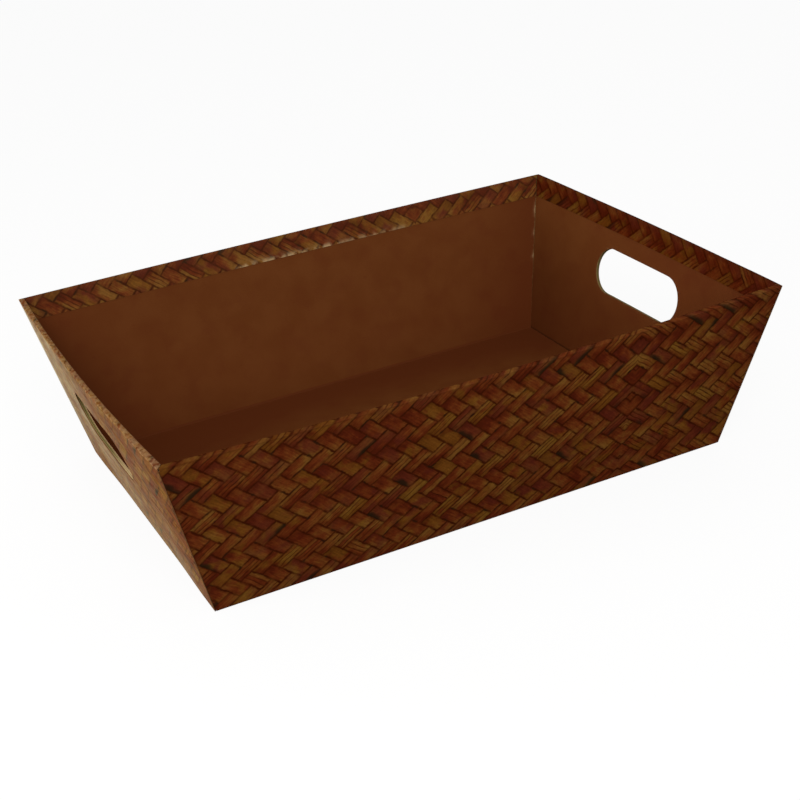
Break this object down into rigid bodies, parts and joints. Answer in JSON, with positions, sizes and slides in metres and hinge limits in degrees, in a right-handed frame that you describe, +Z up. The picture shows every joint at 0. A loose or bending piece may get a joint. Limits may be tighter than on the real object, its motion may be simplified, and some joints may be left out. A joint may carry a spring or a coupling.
{
  "type": "gift basket",
  "caption": "Open cardboard gift tray with outward-sloping walls, a turned-in printed rim and a hand hole in each end.",
  "frame": {"origin": "under the middle of the base, at the level the tray stands on", "axes": "+Z up, X along the long walls, Y across the tray with the front wall at -Y"},
  "size_m": [0.3862, 0.2756, 0.1066],
  "materials": {
    "printed_paper": "glossy film laminate over a printed woven strip pattern",
    "lining_paper": "satin brown",
    "base_paper": "matt brown",
    "stay_paper": "matt kraft tape",
    "greyboard": "matt, grey-olive at the cut edges"
  },
  "bodies": {
    "root": {"base_sheet": "base_paper", "base_board": "greyboard", "front_board": "greyboard", "back_board": "greyboard", "left_end_board": "greyboard", "right_end_board": "greyboard", "corner_stay_front_left": "stay_paper", "corner_stay_front_right": "stay_paper", "corner_stay_back_left": "stay_paper", "corner_stay_back_right": "stay_paper", "front_wrap": "printed_paper", "back_wrap": "printed_paper", "left_end_wrap": "printed_paper", "right_end_wrap": "printed_paper", "long_lining": "lining_paper", "left_end_lining": "lining_paper", "right_end_lining": "lining_paper"}
  },
  "joints": []
}
